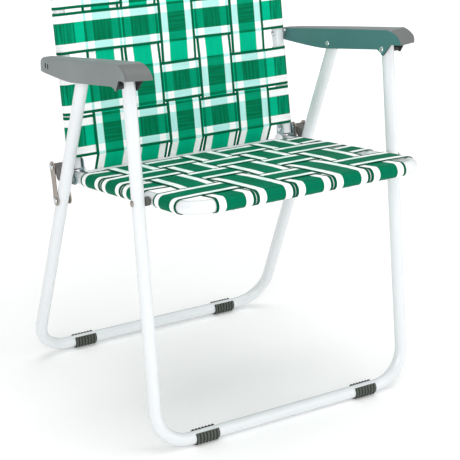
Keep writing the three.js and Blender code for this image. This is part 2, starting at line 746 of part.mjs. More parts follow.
for (const [side, name] of [[-1, "left"], [1, "right"]]) {
  const frontFoot = add(chair, `front_foot_${name}`, foot(), darkRubber());
  frontFoot.position.set(side * frontFootX, frontFrame.toWorld(0, -frontBarDrop).x, barZ);
  const rearFoot = add(chair, `rear_foot_${name}`, foot(), darkRubber());
  rearFoot.position.set(side * rearFootX, rearFrame.toWorld(0, -rearBarDrop).x, barZ);

  add(arms, `armrest_${name}`, armrest(side), greyPlastic());
  add(arms, `arm_front_rivet_${name}`, armRivet(side, new THREE.Vector2()), zincPlate());
  add(arms, `arm_rear_rivet_${name}`, armRivet(side, rearPivot), zincPlate());
  add(arms, `arm_back_rivet_${name}`, armBackRivet(side), zincPlate());

  const seatPin = add(frontLegs, `seat_pivot_rivet_${name}`, seatPivotRivet(side), zincPlate());
  seatPin.position.z = -seatPivotDrop;
  add(seat, `seat_pivot_spacer_${name}`, seatPivotSpacer(side), darkRubber());
  add(seat, `hinge_plate_inner_${name}`, innerPlate(side), zincPlate());
  add(seat, `hinge_plate_outer_${name}`, outerPlate(side), zincPlate());
  add(seat, `hinge_rivet_${name}`, hingeRivet(side), zincPlate());
  const collar = add(seat, `rod_collar_${name}`, rodCollar(side), whiteNylon());
  collar.position.set(0, rodOnSeat.x, rodOnSeat.y);

  const linkInner = legX - tubeRadius - linkGap - linkThickness;
  add(rearLegs, `fold_link_inner_${name}`, foldLink(side * linkInner), zincPlate());
  add(rearLegs, `fold_link_outer_${name}`, foldLink(side * (legX + tubeRadius + linkGap)), zincPlate());
  add(rearLegs, `link_lower_rivet_${name}`, linkRivet(side, linkFoot), zincPlate());
  add(rearLegs, `link_upper_rivet_${name}`, linkRivet(side, hingeOnRearLeg), zincPlate());
  add(rearLegs, `link_saddle_${name}`, linkSaddle(side), greyPlastic());
}

longCentres.forEach((_, column) => {
  add(seat, `seat_strap_long_${column + 1}`, seatLongStrap(column), greenWebbing());
  add(back, `back_strap_long_${column + 1}`, backLongStrap(column), greenWebbing());
});
seatCrossCentres.forEach((_, row) => {
  add(seat, `seat_strap_cross_${row + 1}`, seatCrossStrap(row), greenWebbing());
});
backCrossCentres.forEach((_, row) => {
  add(back, `back_strap_cross_${row + 1}`, backCrossStrap(row), greenWebbing());
});

export default chair;
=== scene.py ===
"""Folding lawn chair: dressed pieces, studio and camera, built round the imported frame."""
import math

import bmesh
import bpy
from mathutils import Matrix, Vector


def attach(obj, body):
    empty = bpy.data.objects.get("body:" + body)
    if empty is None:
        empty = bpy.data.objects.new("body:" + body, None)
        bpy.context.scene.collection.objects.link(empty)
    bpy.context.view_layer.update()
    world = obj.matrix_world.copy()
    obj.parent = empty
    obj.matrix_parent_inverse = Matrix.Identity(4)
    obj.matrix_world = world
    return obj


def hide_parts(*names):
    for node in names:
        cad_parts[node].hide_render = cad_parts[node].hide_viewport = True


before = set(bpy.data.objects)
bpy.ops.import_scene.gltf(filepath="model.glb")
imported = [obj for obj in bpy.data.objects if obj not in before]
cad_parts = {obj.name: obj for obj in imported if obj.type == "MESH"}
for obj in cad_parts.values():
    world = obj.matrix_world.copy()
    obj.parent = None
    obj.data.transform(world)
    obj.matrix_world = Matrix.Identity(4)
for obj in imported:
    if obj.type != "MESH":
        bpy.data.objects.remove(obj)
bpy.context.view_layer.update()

MM = 0.001

# Tube stock and fits
tube_radius = 10 * MM
tube_wall = 1.2 * MM
fit_gap = 0.3 * MM
corner_bend = 32 * MM
floor_bend = 58 * MM

# Webbing
strap_width = 66.5 * MM
strap_gap = 2.2 * MM
strap_edge = 3.35 * MM
long_count = 5
rear_cross_count = 3
missed_crossing = (0, 2)
seat_cross_gap = 4.1 * MM
back_cross_gap = 5 * MM
solid_thickness = 1.2 * MM
tape_thickness = 0.8 * MM
tape_lap = 1.5 * MM
tape_wander = 0.3 * MM
wander_length = 0.19
tape_tail = math.radians(38)
tape_hem = 19 * MM
strap_meet = math.radians(300)
nothing_behind = 2.0  # the edges of a tape behind are at -1 and 1
edge_stripe = 4.5 * MM
white_stripe = 12 * MM
# How much backlight a white stripe behind lets through, in the painted backlight of the tapes.
stripe_glow = 0.45
seat_long_phase = (1.7, 0)
back_long_phase = (2.3, 1)
seat_cross_phase = (1.1, 2)
back_cross_phase = (0.9, 3)

# Side view of the linkage, open
arm_pivot = Vector((-121.4 * MM, 563 * MM))
front_leg_lean = 6.9
rear_leg_lean = 22.3
back_lean = 9.2
seat_slope = 7.3
seat_pivot_drop = 174 * MM
hinge_rise = 23.1 * MM
rear_leg_pivot_run = 148.7 * MM
rear_leg_pivot_drop = 6.5 * MM
link_pivot_drop = 240 * MM
leg_stub = 14 * MM
rear_leg_stub = 12 * MM

# Clear lengths of bare tube along the seat and the back
seat_pivot_front_clear = 12.3 * MM
seat_corner_lap = 5.3 * MM
seat_pivot_rear_clear = 22 * MM
seat_hinge_clear = 39.8 * MM
back_hinge_clear = 10 * MM
back_pivot_low_clear = 22.8 * MM
back_pivot_high_clear = 8.8 * MM
back_top_clear = 2 * MM
seat_tube_overrun = 11 * MM
back_tube_overrun = 8 * MM

# Hinge stack, rod and rivets
pivot_spacer = 9 * MM
spacer_radius = 7 * MM
plate_thickness = 2 * MM
rod_radius = 2.5 * MM
rod_rise = 5 * MM
collar_radius = 10 * MM
collar_length = 5 * MM
link_thickness = 2 * MM
link_gap = 0.3 * MM
link_rim = 1.8 * MM
link_press = 0.6 * MM
pin_radius = 3 * MM
head_radius = 5 * MM
head_height = 1.8 * MM
low_head_height = 1.2 * MM
rivet_tail_radius = 4.6 * MM
bush_edge = 1 * MM
collar_lip = 2 * MM
collar_swell = 0.4 * MM
plate_edge = 0.45 * MM
saddle_edge = 0.7 * MM
screw_radius = 3.6 * MM
screw_height = 1.4 * MM
plug_radius = 9.2 * MM
plug_height = 3.4 * MM
plug_depth = 4.5 * MM

# Feet
front_foot_x = 151.5 * MM
rear_foot_x = 145 * MM
foot_length = 41 * MM
foot_wall = 2.6 * MM
foot_under = 1.8 * MM
foot_ribs = 7
foot_rib_depth = 1.4 * MM
foot_opening = math.radians(80)

# Armrests, measured from the front leg pivot
arm_inner_gap = 0.8 * MM
arm_outer_gap = 12.2 * MM
arm_wall = 2.5 * MM
boss_grip = 3 * MM
boss_radius = 5 * MM
nose_reach = 50 * MM
nose_lip = 15 * MM
nose_setback = 14 * MM
nose_crown = 35 * MM
nose_turn = 8 * MM
nose_draw = 6 * MM
nose_cant = 10 * MM
nose_cant_run = 30 * MM
lip_rear = 23.5 * MM
lip_drop = 3.5 * MM
inner_tab_depth = 9.5 * MM
outer_tab_depth = 6.5 * MM
tab_lead = 3 * MM
tab_half = 4 * MM
tab_round = 3 * MM
tab_rear = 11 * MM
tab_notch = 2 * MM
arm_belly = 8.2 * MM
arm_belly_run = 30 * MM
arm_crown = 1 * MM
arm_taper = 12 * MM
arm_end = 10 * MM
arm_end_above = 8.5 * MM
arm_end_below = 13 * MM
arm_end_round = 14 * MM
arm_corner = 7 * MM
arm_edge = 2.4 * MM
arm_end_edge = 8 * MM
arm_edge_run = 36 * MM
arm_edge_share = 0.6
slot_half_height = 4 * MM
slot_half_width = 2 * MM
slot_insets = [31 * MM, 40 * MM]
end_hole_half = 1.6 * MM
end_hole_inset = 8 * MM

# Ways that a face may look, by the share of its normal along an axis
flat_facing = 0.99
nose_facing = -0.15
inner_facing = -0.95
outer_facing = 0.3

# Fineness
weld = 1e-6
cut_weld = 1e-7
tube_sides = 32
bend_steps = 14
turn_steps = 28
screw_steps = 16
edge_segments = 2
foot_rib_steps = 8
foot_turn_steps = 36
nose_steps = 14
crown_steps = 24
belly_steps = 10
mouth_depth = 24 * MM
wrap_step = math.radians(9)
strap_columns = 12
row_step = 5 * MM

# Sizes that follow
strap_pitch = strap_width + strap_gap
weave_level = tube_radius + fit_gap + solid_thickness / 2
weave_half = (solid_thickness + fit_gap) / 2
frame_x = (long_count * strap_width + (long_count - 1) * strap_gap) / 2 + strap_edge + corner_bend
leg_x = frame_x + 2 * tube_radius + pivot_spacer
bar_z = tube_radius + fit_gap + foot_under
seat_reach = seat_pivot_front_clear + strap_width + corner_bend - seat_corner_lap
seat_depth = (
    seat_pivot_rear_clear + rear_cross_count * strap_width + (rear_cross_count - 1) * seat_cross_gap
    + seat_hinge_clear)
back_pivot_rise = back_hinge_clear + 2 * strap_width + strap_gap + back_pivot_low_clear
upper_straps_from = back_pivot_rise + back_pivot_high_clear
back_rise = upper_straps_from + 3 * strap_width + back_cross_gap + strap_gap + back_top_clear + corner_bend
arm_inside = leg_x - tube_radius - arm_inner_gap
arm_inner_face = arm_inside - arm_wall
arm_outer_face = leg_x + tube_radius + arm_outer_gap + arm_wall
inner_plate_x = frame_x - tube_radius - fit_gap - plate_thickness
plate_stack_end = frame_x + tube_radius + plate_thickness + 2 * fit_gap

long_centres = [(i - (long_count - 1) / 2) * strap_pitch for i in range(long_count)]
seat_cross_centres = [-seat_pivot_front_clear - strap_width / 2]
seat_cross_centres += [
    seat_pivot_rear_clear + strap_width / 2 + i * (strap_width + seat_cross_gap)
    for i in range(rear_cross_count)
]
low_centre = back_hinge_clear + strap_width / 2
high_centre = upper_straps_from + strap_width / 2
back_cross_centres = [low_centre, low_centre + strap_pitch, high_centre]
back_cross_centres += [high_centre + strap_width + back_cross_gap]
back_cross_centres += [high_centre + strap_width + back_cross_gap + strap_pitch]
seat_rows = range(len(seat_cross_centres))
back_rows = range(len(back_cross_centres))


def seat_long_over(column, row):
    return (column + row) % 2 == 1


def back_long_over(column, row):
    return (column + row) % 2 == 0 and (column, row) != missed_crossing


class SideFrame:
    """A frame in the side view: an origin (y, z) and a turn about +X in degrees."""

    def __init__(self, origin, degrees):
        self.origin = Vector(origin)
        self.turn = math.radians(degrees)
        self.matrix = Matrix.Translation((0, origin[0], origin[1])) @ Matrix.Rotation(self.turn, 4, "X")

    def to_world(self, y, z):
        return (self.matrix @ Vector((0, y, z))).yz

    def to_local(self, point):
        return (self.matrix.inverted() @ Vector((0, point[0], point[1]))).yz


arm_frame = SideFrame(arm_pivot, 0)
front_frame = SideFrame(arm_pivot, -front_leg_lean)
seat_frame = SideFrame(front_frame.to_world(0, -seat_pivot_drop), -seat_slope)
back_frame = SideFrame(seat_frame.to_world(seat_depth, hinge_rise), -back_lean)
back_pivot = arm_frame.to_local(back_frame.to_world(0, back_pivot_rise))
pivot_line = SideFrame(arm_pivot, math.degrees(math.atan2(back_pivot.y, back_pivot.x)))
rear_frame = SideFrame(pivot_line.to_world(rear_leg_pivot_run, -rear_leg_pivot_drop), rear_leg_lean)
rear_pivot = arm_frame.to_local(rear_frame.origin)
arm_rear = back_pivot.x + arm_end
hinge_on_rear_leg = rear_frame.to_local(back_frame.origin)
rod_on_seat = Vector((seat_depth, rod_rise))
rod_on_back = back_frame.to_local(seat_frame.to_world(seat_depth, rod_rise))
front_bar_drop = (front_frame.origin.y - bar_z) / math.cos(front_frame.turn)
rear_bar_drop = (rear_frame.origin.y - bar_z) / math.cos(rear_frame.turn)
front_bar_y = front_frame.to_world(0, -front_bar_drop).x
rear_bar_y = rear_frame.to_world(0, -rear_bar_drop).x

SIDES = (("left", -1), ("right", 1))
quarter = math.pi / 2


# Shader nodes
def linear(red, green, blue):
    """A screen colour, 0 to 255, as the linear colour that a shader takes."""
    def channel(value):
        value /= 255
        return value / 12.92 if value <= 0.04045 else ((value + 0.055) / 1.055) ** 2.4
    return (channel(red), channel(green), channel(blue), 1.0)


def grey(level):
    return (level, level, level, 1.0)


class NodeBench:
    """Places and joins nodes in one tree."""

    def __init__(self, tree):
        self.tree = tree

    def add(self, kind, settings=None, **inputs):
        node = self.tree.nodes.new(kind)
        for name, value in (settings or {}).items():
            setattr(node, name, value)
        for name, value in inputs.items():
            self.feed(node.inputs[name.replace("_", " ")], value)
        return node

    def feed(self, socket, value):
        if isinstance(value, bpy.types.NodeSocket):
            self.tree.links.new(value, socket)
        else:
            socket.default_value = value

    def calc(self, operation, first, second=0.0, third=0.0):
        node = self.tree.nodes.new("ShaderNodeMath")
        node.operation = operation
        for socket, value in zip(node.inputs, (first, second, third)):
            self.feed(socket, value)
        return node.outputs[0]

    def ramp(self, value, low, high, start=0.0, end=1.0):
        """Runs smoothly from start at low to end at high."""
        node = self.add("ShaderNodeMapRange", {"interpolation_type": "SMOOTHSTEP"}, Value=value)
        self.feed(node.inputs["From Min"], low)
        self.feed(node.inputs["From Max"], high)
        self.feed(node.inputs["To Min"], start)
        self.feed(node.inputs["To Max"], end)
        return node.outputs[0]

    def mix(self, share, first, second):
        node = self.tree.nodes.new("ShaderNodeMix")
        node.data_type = "RGBA"
        self.feed(node.inputs[0], share)
        self.feed(node.inputs[6], first)
        self.feed(node.inputs[7], second)
        return node.outputs[2]

    def noise(self, vector, scale=1.0, detail=3.0, roughness=0.55):
        node = self.add(
            "ShaderNodeTexNoise", Vector=vector, Scale=scale, Detail=detail, Roughness=roughness)
        return node.outputs[0]

    def stretched(self, vector, x, y, z):
        return self.add("ShaderNodeMapping", Vector=vector, Scale=(x, y, z)).outputs[0]

    def group(self, tree, **inputs):
        node = self.tree.nodes.new("ShaderNodeGroup")
        node.node_tree = tree
        for name, value in inputs.items():
            self.feed(node.inputs[name], value)
        return node.outputs

    def bump(self, height, strength, distance):
        return self.add("ShaderNodeBump", Height=height, Strength=strength, Distance=distance).outputs[0]


def effect(name, inputs, outputs):
    """A new node group with its own bench, its input sockets and its output node."""
    tree = bpy.data.node_groups.new(name, "ShaderNodeTree")
    for socket, kind in inputs.items():
        tree.interface.new_socket(socket, in_out="INPUT", socket_type=kind)
    for socket, kind in outputs.items():
        tree.interface.new_socket(socket, in_out="OUTPUT", socket_type=kind)
    start = tree.nodes.new("NodeGroupInput")
    end = tree.nodes.new("NodeGroupOutput")
    return NodeBench(tree), start.outputs, end.inputs


def stripes_effect():
    """From the distance to the tape's middle line: how white it is there, and how much of the dark edge."""
    bench, given, result = effect("tape_stripes", {"Away": "NodeSocketFloat"}, {
        "White": "NodeSocketFloat", "Edge": "NodeSocketFloat"})
    half = strap_width / 2
    soft = 0.35 * MM
    edge = bench.ramp(given["Away"], half - edge_stripe - soft, half - edge_stripe + soft)
    inner = half - edge_stripe - white_stripe
    white = bench.ramp(given["Away"], inner - soft, inner + soft)
    bench.feed(result["White"], bench.calc("SUBTRACT", white, edge))
    bench.feed(result["Edge"], edge)
    return bench.tree


def weave_effect():
    """Fine woven ribs of the tape: their height, and the uneven tone of the yarn."""
    bench, given, result = effect("tape_weave", {"Tape": "NodeSocketVector"}, {
        "Height": "NodeSocketFloat", "Tone": "NodeSocketFloat"})
    rib = 1.9 * MM
    pick = 1.5 * MM
    yarn_lift = 0.35
    yarn_share = 0.4
    along = bench.add("ShaderNodeSeparateXYZ", Vector=given["Tape"]).outputs
    across_wave = bench.calc("SINE", bench.calc("MULTIPLY", along[0], math.pi / rib))
    along_wave = bench.calc("SINE", bench.calc("MULTIPLY", along[1], math.pi / pick))
    check = bench.calc("MULTIPLY", across_wave, along_wave)
    rounded = bench.calc("ABSOLUTE", check)
    yarn = bench.noise(bench.stretched(given["Tape"], 900, 40, 1), detail=2.0)
    bench.feed(result["Height"], bench.calc("ADD", rounded, bench.calc("MULTIPLY", yarn, yarn_lift)))
    slow = bench.noise(bench.stretched(given["Tape"], 160, 9, 1))
    even = bench.calc("MULTIPLY", slow, 1 - yarn_share)
    uneven = bench.calc("MULTIPLY", yarn, yarn_share)
    bench.feed(result["Tone"], bench.calc("ADD", even, uneven))
    return bench.tree


def grain_effect():
    """Moulded or painted skin: a fine grain for the bump, slow clouds and sparse scuffs."""
    bench, given, result = effect("skin_grain", {"Place": "NodeSocketVector", "Fine": "NodeSocketFloat"}, {
        "Height": "NodeSocketFloat", "Cloud": "NodeSocketFloat", "Scuff": "NodeSocketFloat"})
    bench.feed(result["Height"], bench.noise(given["Place"], given["Fine"], detail=4.0))
    bench.feed(result["Cloud"], bench.noise(given["Place"], scale=11.0, detail=4.0))
    streaks = bench.noise(bench.stretched(given["Place"], 160, 22, 40), detail=5.0, roughness=0.7)
    bench.feed(result["Scuff"], bench.ramp(streaks, 0.66, 0.78))
    return bench.tree


tape_stripes = stripes_effect()
tape_weave = weave_effect()
skin_grain = grain_effect()


def new_coat(name, **constants):
    coat = bpy.data.materials.new(name)
    coat.use_nodes = True
    bench = NodeBench(coat.node_tree)
    shader = next(n for n in coat.node_tree.nodes if n.type == "BSDF_PRINCIPLED")
    for socket, value in constants.items():
        shader.inputs[socket.replace("_", " ")].default_value = value
    return coat, bench, shader.inputs


def object_place(bench):
    return bench.add("ShaderNodeTexCoord").outputs["Object"]


def skin_coat(name, tones, roughness, fine, bump, scuff=0.0, **constants):
    """Paint, plastic or rubber: two close tones, a grained skin and a few scuffs."""
    coat, bench, shader = new_coat(name, **constants)
    grain = bench.group(skin_grain, Place=object_place(bench), Fine=fine)
    base = bench.mix(grain["Cloud"], linear(*tones[0]), linear(*tones[1]))
    worn = bench.calc("MULTIPLY", grain["Scuff"], scuff)
    bench.feed(shader["Base Color"], bench.mix(worn, base, linear(*tones[2])))
    bench.feed(shader["Roughness"], bench.ramp(grain["Cloud"], 0.3, 0.7, roughness[0], roughness[1]))
    bench.feed(shader["Normal"], bench.bump(grain["Height"], bump, 0.4 * MM))
    return coat


def moulding(name, tones):
    """Satin moulded plastic."""
    return skin_coat(
        name, tones, roughness=(0.46, 0.58), fine=1500, bump=0.12, scuff=0.25, Specular_IOR_Level=0.3)


white_enamel = skin_coat(
    "white_enamel", [(228, 231, 233), (221, 225, 227), (196, 201, 203)],
    roughness=(0.16, 0.26), fine=420, bump=0.05, scuff=0.35, Coat_Weight=0.35, Coat_Roughness=0.08)
grey_moulding = moulding("grey_moulding", [(130, 138, 138), (122, 129, 129), (152, 158, 158)])
# A darker copy of the grey moulding: painted shade on the nose, which faces away from the light.
nose_shade_moulding = moulding("nose_shade_moulding", [(107, 110, 109), (101, 105, 103), (126, 130, 129)])
# A teal copy of the grey moulding: painted green reflection of the webbing, with painted shade, on the
# inner walls.
green_reflection_moulding = moulding("green_reflection_moulding", [(76, 128, 126), (70, 121, 119), (98, 144, 142)])
dark_rubber = skin_coat(
    "dark_rubber", [(84, 89, 82), (73, 77, 71), (108, 112, 104)],
    roughness=(0.55, 0.7), fine=1100, bump=0.25, scuff=0.4)
# Near-black rubber: painted shade in the grooves of the foot sleeves.
groove_shade_rubber = skin_coat(
    "groove_shade_rubber", [(36, 38, 34), (31, 33, 29), (46, 48, 44)],
    roughness=(0.65, 0.75), fine=1100, bump=0.25, scuff=0.4)
# A near-black moulding: painted shade inside the armrest's channel and on its bosses.
shaded_moulding = skin_coat(
    "shaded_moulding", [(40, 43, 43), (35, 38, 38), (50, 53, 53)],
    roughness=(0.6, 0.7), fine=1500, bump=0.12, scuff=0.25)
dark_moulding = skin_coat(
    "dark_moulding", [(98, 96, 93), (86, 84, 82), (118, 116, 113)],
    roughness=(0.4, 0.52), fine=1300, bump=0.15, scuff=0.3)
white_nylon = skin_coat(
    "white_nylon", [(238, 240, 238), (226, 230, 228), (210, 214, 212)],
    roughness=(0.3, 0.42), fine=900, bump=0.06)


def metal_coat(name, dark, bright, roughness, bump):
    """Bare or plated steel: two tones in small spangles, lightly brushed."""
    coat, bench, shader = new_coat(name, Metallic=1.0)
    place = object_place(bench)
    spangle = bench.noise(place, scale=260.0, detail=2.0)
    brushed = bench.noise(bench.stretched(place, 60, 900, 900))
    bench.feed(shader["Base Color"], bench.mix(spangle, linear(*dark), linear(*bright)))
    bench.feed(shader["Roughness"], bench.ramp(brushed, 0.3, 0.7, roughness[0], roughness[1]))
    bench.feed(shader["Normal"], bench.bump(brushed, bump, 0.2 * MM))
    return coat


def tape_coat(name, single, doubled_shade, edge, white, backlit_mint):
    """Woven tape: stripes across it, and painted backlight: a single layer bright, painted shade where a
    tape or a tube lies behind it, white stripes tinted by green behind.
    """
    coat, bench, shader = new_coat(name, Specular_IOR_Level=0.03)
    tape = bench.add("ShaderNodeUVMap", {"uv_map": "Tape"}).outputs[0]
    crossing = bench.add("ShaderNodeUVMap", {"uv_map": "Crossing"}).outputs[0]
    across = bench.add("ShaderNodeSeparateXYZ", Vector=tape).outputs[0]
    backing = bench.add("ShaderNodeSeparateXYZ", Vector=crossing).outputs
    behind = bench.calc("ABSOLUTE", backing[0])
    own = bench.group(tape_stripes, Away=bench.calc("ABSOLUTE", across))
    other = bench.group(tape_stripes, Away=bench.calc("MULTIPLY", behind, strap_width / 2))
    backed = bench.calc("LESS_THAN", behind, (1 + nothing_behind) / 2)
    dark_behind = bench.calc("MULTIPLY", backed, bench.calc("SUBTRACT", 1.0, other["White"]))
    streaks = bench.noise(bench.stretched(tape, 12, 260, 1), detail=2.0)
    # Painted shade where a tube is behind, and where another tape shuts off the light from behind.
    tube_shade = bench.calc("MULTIPLY", backing[1], bench.ramp(streaks, 0.35, 0.65, 0.45, 0.95))
    lit_through = bench.calc("MULTIPLY", other["White"], stripe_glow)
    shut_off = bench.calc("MULTIPLY", backed, bench.calc("SUBTRACT", 1.0, lit_through))
    tape_shade = bench.calc("MULTIPLY", shut_off, bench.ramp(streaks, 0.35, 0.65, 0.8, 1.0))
    green = bench.mix(bench.calc("MAXIMUM", tape_shade, tube_shade), linear(*single), linear(*doubled_shade))
    pale = bench.mix(dark_behind, linear(*white), linear(*backlit_mint))
    striped = bench.mix(own["Edge"], bench.mix(own["White"], green, pale), linear(*edge))
    weave = bench.group(tape_weave, Tape=tape)
    shade = bench.ramp(weave["Tone"], 0.25, 0.75, 0.92, 1.06)
    toned = bench.add("ShaderNodeVectorMath", {"operation": "SCALE"})
    bench.feed(toned.inputs[0], striped)
    bench.feed(toned.inputs["Scale"], shade)
    bench.feed(shader["Base Color"], toned.outputs[0])
    bench.feed(shader["Roughness"], bench.ramp(weave["Tone"], 0.3, 0.7, 0.5, 0.62))
    bench.feed(shader["Normal"], bench.bump(weave["Height"], 0.5, 0.3 * MM))
    return coat


zinc_plate = metal_coat(
    "zinc_plate", dark=(118, 142, 146), bright=(158, 180, 183), roughness=(0.22, 0.36), bump=0.1)
dull_steel = metal_coat(
    "dull_steel", dark=(146, 137, 130), bright=(184, 175, 167), roughness=(0.34, 0.48), bump=0.12)
bright_rivet = metal_coat(
    "bright_rivet", dark=(190, 196, 197), bright=(222, 226, 226), roughness=(0.14, 0.24), bump=0.04)
# The back's colours paint backlight: a bright single green, a doubled green in painted shade, white stripes
# tinted mint by green behind; the seat paints it more weakly.
back_tape = tape_coat(
    "back_tape", single=(0, 182, 139), doubled_shade=(0, 106, 68), edge=(0, 98, 66),
    white=(254, 255, 255), backlit_mint=(184, 238, 232))
seat_tape = tape_coat(
    "seat_tape", single=(0, 118, 85), doubled_shade=(0, 108, 76), edge=(0, 84, 58),
    white=(254, 255, 255), backlit_mint=(226, 246, 241))


# Pieces
def finished(name, bm, place, body, coat, nodes=(), crisp=38, more_coats=()):
    """Makes a piece of a bmesh, puts it in place on its body, and hides the solids that it stands for."""
    bm.transform(place)
    mesh = bpy.data.meshes.new(name)
    bm.to_mesh(mesh)
    bm.free()
    for layer in (coat, *more_coats):
        mesh.materials.append(layer)
    mesh.shade_smooth()
    mesh.set_sharp_from_angle(angle=math.radians(crisp))
    piece = bpy.data.objects.new(name, mesh)
    bpy.context.scene.collection.objects.link(piece)
    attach(piece, body)
    if nodes:
        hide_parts(*nodes)
    return piece


def pushed(bm, rim, step):
    """Extrudes a ring of edges by a step, and gives the new ring."""
    grown = bmesh.ops.extrude_edge_only(bm, edges=rim)["geom"]
    fresh = {item for item in grown if isinstance(item, bmesh.types.BMVert)}
    bmesh.ops.translate(bm, vec=step, verts=list(fresh))
    edges = {edge for vert in fresh for edge in vert.link_edges}
    return [edge for edge in edges if edge.verts[0] in fresh and edge.verts[1] in fresh]


def ring_verts(rim):
    return list({vert for edge in rim for vert in edge.verts})


def tube_mouth(bm, rim, inward):
    """Turns the end of a tube inwards: the cut wall, the bore and a floor out of sight."""
    verts = ring_verts(rim)
    centre = sum((vert.co for vert in verts), Vector()) / len(verts)
    lip = pushed(bm, rim, Vector())
    share = 1 - tube_wall / tube_radius
    bmesh.ops.scale(bm, vec=(share, share, share), space=Matrix.Translation(-centre), verts=ring_verts(lip))
    floor = pushed(bm, lip, inward * mouth_depth)
    bmesh.ops.edgeloop_fill(bm, edges=floor)


def bent_tube(corners, bend):
    """Sweeps a tube: straight runs are extruded and bends are spun."""
    bm = bmesh.new()
    corners = [Vector(corner) for corner in corners]
    heading = (corners[1] - corners[0]).normalized()
    first_heading = heading
    facing = heading.to_track_quat("Z", "Y").to_matrix().to_4x4()
    bmesh.ops.create_circle(
        bm, segments=tube_sides, radius=tube_radius, matrix=Matrix.Translation(corners[0]) @ facing)
    rim = list(bm.edges)
    first_rim = list(rim)
    spot = corners[0]
    for corner, after in zip(corners[1:-1], corners[2:]):
        leaving = (after - corner).normalized()
        turn = heading.angle(leaving)
        reach = bend * math.tan(turn / 2)
        rim = pushed(bm, rim, corner - heading * reach - spot)
        inward = (leaving - heading * leaving.dot(heading)).normalized()
        spun = bmesh.ops.spin(
            bm, geom=rim, cent=corner - heading * reach + inward * bend, axis=heading.cross(inward),
            dvec=(0, 0, 0), angle=turn, steps=bend_steps, use_merge=False, use_duplicate=False)
        rim = [item for item in spun["geom_last"] if isinstance(item, bmesh.types.BMEdge)]
        spot = corner + leaving * reach
        heading = leaving
    rim = pushed(bm, rim, corners[-1] - spot)
    tube_mouth(bm, first_rim, first_heading)
    tube_mouth(bm, rim, -heading)
    bmesh.ops.recalc_face_normals(bm, faces=bm.faces)
    return bm


def turned(profile, shut=False, steps=turn_steps):
    """Turns a profile of (radius, x) about X; a shut profile joins its last point to its first."""
    bm = bmesh.new()
    points = [bm.verts.new((x, radius, 0)) for radius, x in profile]
    pairs = list(zip(points, points[1:]))
    if shut:
        pairs.append((points[-1], points[0]))
    line = [bm.edges.new(pair) for pair in pairs]
    bmesh.ops.spin(
        bm, geom=points + line, cent=(0, 0, 0), axis=(1, 0, 0), dvec=(0, 0, 0), angle=2 * math.pi,
        steps=steps, use_merge=True, use_duplicate=False)
    bmesh.ops.remove_doubles(bm, verts=bm.verts, dist=weld)
    bmesh.ops.recalc_face_normals(bm, faces=bm.faces)
    return bm


def dome(radius, height, base, way, steps=5):
    """Profile points of a domed head, from its top to its rim: base is the rim's x, way points outwards."""
    points = []
    for step in range(steps + 1):
        angle = quarter * step / steps
        points.append((radius * math.sin(angle), base + way * height * math.cos(angle)))
    return points


def rivet_profile(start, end, radius, tail):
    """A rivet from its domed head to its end, which is a low dome or, without a tail, flat."""
    way = 1 if end > start else -1
    profile = dome(head_radius, head_height, start, -way)
    profile += [(radius, start), (radius, end)]
    if tail:
        profile += list(reversed(dome(rivet_tail_radius, low_head_height, end, way)))
    else:
        profile.append((0, end))
    return profile


def mirrored(profile, sign):
    return [(radius, sign * x) for radius, x in profile]


def gathered(parts):
    """One bmesh of many: each part is a bmesh and the matrix that places it."""
    bm = bmesh.new()
    carrier = bpy.data.meshes.new("carrier")
    for part, place in parts:
        part.transform(place)
        part.to_mesh(carrier)
        part.free()
        bm.from_mesh(carrier)
    bpy.data.meshes.remove(carrier)
    return bm


def soft_step(share):
    return share * share * (3 - 2 * share)


def side_place(frame_here, point=(0, 0)):
    return frame_here.matrix @ Matrix.Translation((0, point[0], point[1]))


def pressed(bm, way, rim, depth):
    """Presses the flat faces that look one way along X inwards, inside a rim."""
    flats = [face for face in bm.faces if face.normal.x * way > flat_facing]
    bmesh.ops.inset_region(
        bm, faces=flats, thickness=rim, depth=-depth, use_boundary=True, use_even_offset=True)
    return bm


def bevelled_copy(node, width, limit=35):
    """A copy of a solid with its flat faces joined and its edges rounded."""
    bm = bmesh.new()
    bm.from_mesh(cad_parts[node].data)
    bmesh.ops.remove_doubles(bm, verts=bm.verts, dist=weld)
    bmesh.ops.dissolve_limit(
        bm, angle_limit=math.radians(1), verts=bm.verts, edges=bm.edges, use_dissolve_boundaries=False)
    sharp = [e for e in bm.edges if e.is_manifold and e.calc_face_angle() > math.radians(limit)]
    bmesh.ops.bevel(
        bm, geom=sharp, offset=width, offset_type="OFFSET", segments=edge_segments, profile=0.5,
        affect="EDGES", clamp_overlap=True, material=-1)
    return bm


def grid_spots(bm, columns, rows):
    """The vertices of a new flat grid, each with its column and its row."""
    bmesh.ops.create_grid(bm, x_segments=columns, y_segments=rows, size=1)
    return {v: (round((v.co.x + 1) / 2 * columns), round((v.co.y + 1) / 2 * rows)) for v in bm.verts}


# Frames of bent tube
def leg_corners(stub, drop):
    return [(-leg_x, 0, stub), (-leg_x, 0, -drop), (leg_x, 0, -drop), (leg_x, 0, stub)]


seat_corners = [
    (-frame_x, seat_depth + seat_tube_overrun, 0), (-frame_x, -seat_reach, 0),
    (frame_x, -seat_reach, 0), (frame_x, seat_depth + seat_tube_overrun, 0)]
back_corners = [
    (-frame_x, 0, -back_tube_overrun), (-frame_x, 0, back_rise),
    (frame_x, 0, back_rise), (frame_x, 0, -back_tube_overrun)]

front_leg_corners = leg_corners(leg_stub, front_bar_drop)
rear_leg_corners = leg_corners(rear_leg_stub, rear_bar_drop)

